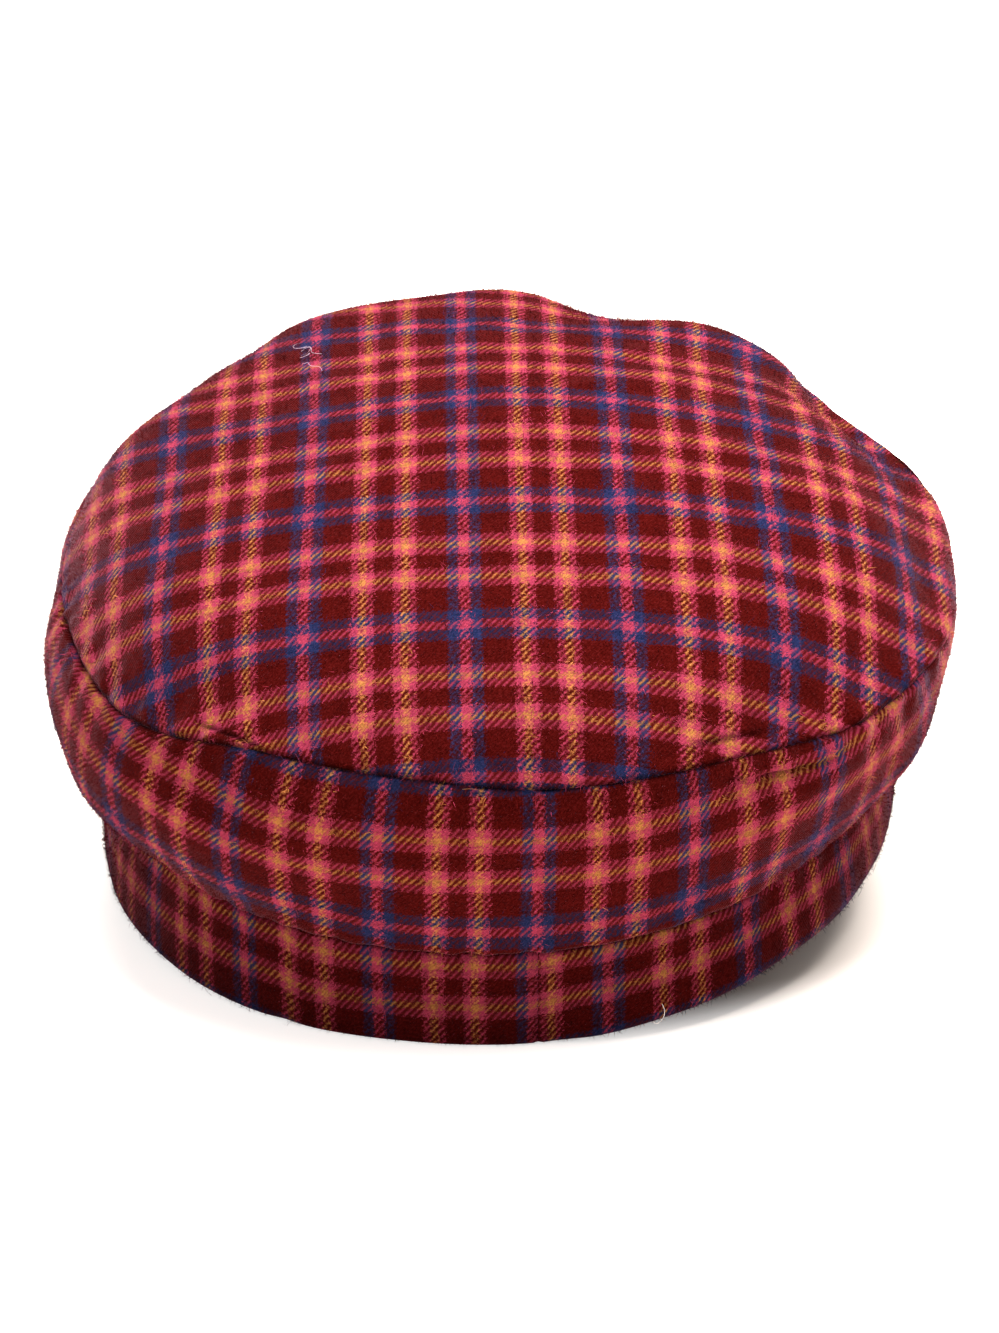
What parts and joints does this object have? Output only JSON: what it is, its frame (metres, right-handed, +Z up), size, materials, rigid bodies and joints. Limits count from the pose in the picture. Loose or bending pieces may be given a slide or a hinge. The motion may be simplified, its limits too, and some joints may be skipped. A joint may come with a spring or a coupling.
{
  "type": "soft peaked cap",
  "caption": "Soft plaid wool cap with a domed oval top, a full gathered-in side panel, a headband and a short stiff peak, resting on its hem and peak",
  "frame": {"origin": "middle of the cap's footprint, on the surface that it rests on", "axes": "+Z up, the peak toward -Y and the back of the head toward +Y, the wearer's left toward +X"},
  "size_m": [0.2086, 0.2542, 0.1212],
  "materials": {
    "plaid_wool_top": "brushed wool twill, maroon ground with blue, pink and yellow plaid stripes",
    "plaid_wool_side": "brushed wool twill, the same plaid, stripes level with the headband at the back",
    "plaid_wool_band": "brushed wool twill, the same plaid, folded double over the hem",
    "plaid_wool_peak": "brushed wool twill, the same plaid, stretched over a stiff board"
  },
  "bodies": {
    "root": {"crown_tip": "plaid_wool_top", "side_panel_back": "plaid_wool_side", "side_panel_front": "plaid_wool_side", "headband": "plaid_wool_band", "peak": "plaid_wool_peak"}
  },
  "joints": []
}
